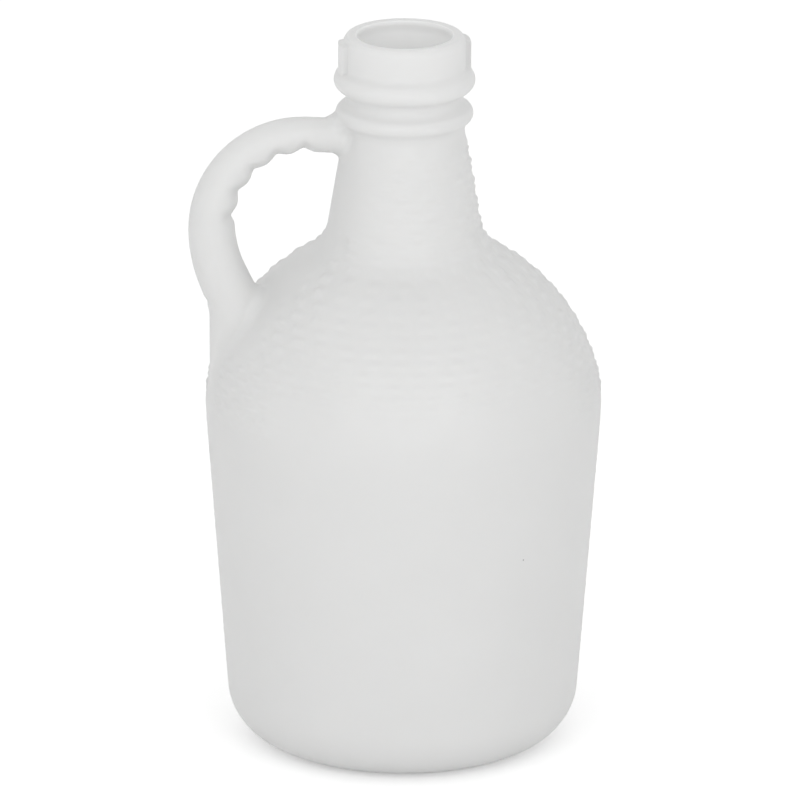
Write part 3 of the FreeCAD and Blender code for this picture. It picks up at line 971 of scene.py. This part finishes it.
def milky_plastic(clouds):
    """Natural polyethylene: pale, cloudy and satin, lets light through, with a few grey specks."""
    material = new_material("milky_polyethylene")
    tree = material.node_tree
    link = tree.links.new
    place = add_node(tree, "ShaderNodeTexCoord").outputs["Object"]

    body = add_node(tree, "ShaderNodeGroup", {
        "Scale": 38.0, "Detail": 3.0, "Roughness": 0.55,
        "Deep": (0.872, 0.873, 0.869, 1), "Pale": (0.896, 0.897, 0.893, 1)}, node_tree=clouds)
    link(place, body.inputs["Place"])

    cells = add_node(tree, "ShaderNodeTexVoronoi", {"Scale": 75.0, "Randomness": 1.0})
    link(place, cells.inputs["Vector"])
    near = add_node(tree, "ShaderNodeMapRange", {"From Min": 0.010, "From Max": 0.022, "To Min": 1.0,
                                                  "To Max": 0.0})
    link(cells.outputs["Distance"], near.inputs["Value"])
    pick = add_node(tree, "ShaderNodeSeparateColor")
    link(cells.outputs["Color"], pick.inputs["Color"])
    rare = add_node(tree, "ShaderNodeMath", {1: SPECKLESS_SHARE}, operation="GREATER_THAN")
    link(pick.outputs["Red"], rare.inputs[0])
    speck = add_node(tree, "ShaderNodeMath", operation="MULTIPLY")
    link(near.outputs["Result"], speck.inputs[0])
    link(rare.outputs["Value"], speck.inputs[1])
    colour = add_node(tree, "ShaderNodeMix", data_type="RGBA")
    colour.inputs["B"].default_value = (0.42, 0.42, 0.41, 1)
    link(speck.outputs["Value"], colour.inputs["Factor"])
    link(body.outputs["Tint"], colour.inputs["A"])

    patches = add_node(tree, "ShaderNodeTexNoise", {"Scale": 120.0, "Detail": 4.0, "Roughness": 0.6})
    link(place, patches.inputs["Vector"])
    satin = add_node(tree, "ShaderNodeMapRange", {"From Min": 0.3, "From Max": 0.7, "To Min": 0.30,
                                                   "To Max": 0.42})
    link(patches.outputs["Fac"], satin.inputs["Value"])

    grain = add_node(tree, "ShaderNodeTexNoise", {"Scale": 1400.0, "Detail": 2.0, "Roughness": 0.5})
    link(place, grain.inputs["Vector"])
    bump = add_node(tree, "ShaderNodeBump", {"Strength": 0.10, "Distance": 0.00004})
    link(grain.outputs["Fac"], bump.inputs["Height"])

    surface = add_node(tree, "ShaderNodeBsdfPrincipled", {
        "IOR": PLASTIC_IOR, "Specular IOR Level": 0.5, "Subsurface Weight": 0.8,
        "Subsurface Scale": 0.0007, "Subsurface Radius": (1.0, 0.99, 0.97), "Coat Weight": 0.08,
        "Coat Roughness": 0.12})
    link(colour.outputs["Result"], surface.inputs["Base Color"])
    link(satin.outputs["Result"], surface.inputs["Roughness"])
    link(bump.outputs["Normal"], surface.inputs["Normal"])
    let_through(tree, surface, colour.outputs["Result"])
    return material


def let_through(tree, surface, colour):
    """Ends a material as a thin wall that passes part of the light on."""
    through = add_node(tree, "ShaderNodeBsdfTranslucent")
    tree.links.new(colour, through.inputs["Color"])
    wall = add_node(tree, "ShaderNodeMixShader", {"Fac": THROUGH_SHARE})
    tree.links.new(surface.outputs["BSDF"], wall.inputs[1])
    tree.links.new(through.outputs["BSDF"], wall.inputs[2])
    out = add_node(tree, "ShaderNodeOutputMaterial")
    tree.links.new(wall.outputs["Shader"], out.inputs["Surface"])


def inside_plastic_painted_light(clouds):
    """The inside of the wall: the same plastic painted much paler, as painted light for the light that
    comes through the thin wall, so it only absorbs a little of the light that gets in.
    """
    material = new_material("inside_polyethylene_painted_light")
    tree = material.node_tree
    place = add_node(tree, "ShaderNodeTexCoord").outputs["Object"]
    # painted light: the inside's tint is far paler than the outside's, so the mouth and bore look lit
    # through the wall
    body = add_node(tree, "ShaderNodeGroup", {
        "Scale": 60.0, "Detail": 2.0, "Roughness": 0.5,
        "Deep": (0.974, 0.975, 0.972, 1), "Pale": (0.986, 0.987, 0.984, 1)}, node_tree=clouds)
    tree.links.new(place, body.inputs["Place"])
    surface = add_node(tree, "ShaderNodeBsdfPrincipled", {"IOR": PLASTIC_IOR, "Roughness": 0.34})
    tree.links.new(body.outputs["Tint"], surface.inputs["Base Color"])
    let_through(tree, surface, body.outputs["Tint"])
    return material


def either(tree, first, second):
    """1 where one of two ray tests is 1."""
    larger = add_node(tree, "ShaderNodeMath", operation="MAXIMUM")
    tree.links.new(first, larger.inputs[0])
    tree.links.new(second, larger.inputs[1])
    return larger.outputs["Value"]


def pale_floor():
    """Pale floor that shows white to the camera where no shadow falls."""
    material = new_material("pale_floor")
    tree = material.node_tree
    link = tree.links.new
    paper = add_node(tree, "ShaderNodeBsdfDiffuse", {"Color": (0.93, 0.93, 0.93, 1)})
    lift = add_node(tree, "ShaderNodeEmission", {"Color": (1, 1, 1, 1), "Strength": FLOOR_LIFT})
    both = add_node(tree, "ShaderNodeAddShader")
    link(paper.outputs["BSDF"], both.inputs[0])
    link(lift.outputs["Emission"], both.inputs[1])
    rays = add_node(tree, "ShaderNodeLightPath").outputs
    choice = add_node(tree, "ShaderNodeMixShader")
    link(either(tree, rays["Is Camera Ray"], rays["Is Glossy Ray"]), choice.inputs["Fac"])
    link(paper.outputs["BSDF"], choice.inputs[1])
    link(both.outputs["Shader"], choice.inputs[2])
    out = add_node(tree, "ShaderNodeOutputMaterial")
    link(choice.outputs["Shader"], out.inputs["Surface"])
    return material


clouds = cloudy_tint()
jug.data.materials.append(milky_plastic(clouds))
# the second material, for the inside faces, carries painted light: a paler copy of the plastic
jug.data.materials.append(inside_plastic_painted_light(clouds))

# ---- light, floor and background ------------------------------------------------------------

FILL_LEVEL = 0.78
SOFTBOX_DISTANCE = 1.6
SOFTBOX_SIZE = 0.95
FLOOR_REACH = 4.0

# each softbox: degrees round from the front, degrees up and watts
SOFTBOXES = {
    "left_softbox": (-34.0, 28.0, 2.6),
    "right_softbox": (18.0, 28.0, 2.5),
    "low_softbox": (-8.0, 2.0, 2.9),
}

scene = bpy.context.scene
scene.view_settings.view_transform = "Standard"


def studio_world():
    """White for the camera, and an even fill light for everything else."""
    world = bpy.data.worlds.new("studio")
    world.use_nodes = True
    tree = world.node_tree
    tree.nodes.clear()
    link = tree.links.new
    seen = add_node(tree, "ShaderNodeBackground", {"Color": (1, 1, 1, 1), "Strength": 1.0})
    fill = add_node(tree, "ShaderNodeBackground", {"Color": (1, 1, 1, 1), "Strength": FILL_LEVEL})
    rays = add_node(tree, "ShaderNodeLightPath").outputs
    seen_ray = either(tree, rays["Is Camera Ray"], rays["Is Transmission Ray"])
    choice = add_node(tree, "ShaderNodeMixShader")
    link(either(tree, seen_ray, rays["Is Glossy Ray"]), choice.inputs["Fac"])
    link(fill.outputs["Background"], choice.inputs[1])
    link(seen.outputs["Background"], choice.inputs[2])
    out = add_node(tree, "ShaderNodeOutputWorld")
    link(choice.outputs["Shader"], out.inputs["Surface"])
    return world


def softbox(name, azimuth_deg, elevation_deg, power):
    """A round softbox turned to the middle of the jug."""
    away = direction(azimuth_deg, elevation_deg)
    data = bpy.data.lights.new(name, "AREA")
    data.shape = "DISK"
    data.size = SOFTBOX_SIZE
    data.energy = power
    lamp = bpy.data.objects.new(name, data)
    lamp.location = Vector((0, 0, HEIGHT / 2)) + SOFTBOX_DISTANCE * away
    lamp.rotation_euler = away.to_track_quat("Z", "Y").to_euler()
    scene.collection.objects.link(lamp)


scene.world = studio_world()
for name, (azimuth_deg, elevation_deg, power) in SOFTBOXES.items():
    softbox(name, azimuth_deg, elevation_deg, power)

corners = [(-FLOOR_REACH, -FLOOR_REACH, 0), (FLOOR_REACH, -FLOOR_REACH, 0),
           (FLOOR_REACH, FLOOR_REACH, 0), (-FLOOR_REACH, FLOOR_REACH, 0)]
floor_mesh = bpy.data.meshes.new("floor")
floor_mesh.from_pydata(corners, [], [(0, 1, 2, 3)])
floor_mesh.materials.append(pale_floor())
floor = bpy.data.objects.new("floor", floor_mesh)
scene.collection.objects.link(floor)
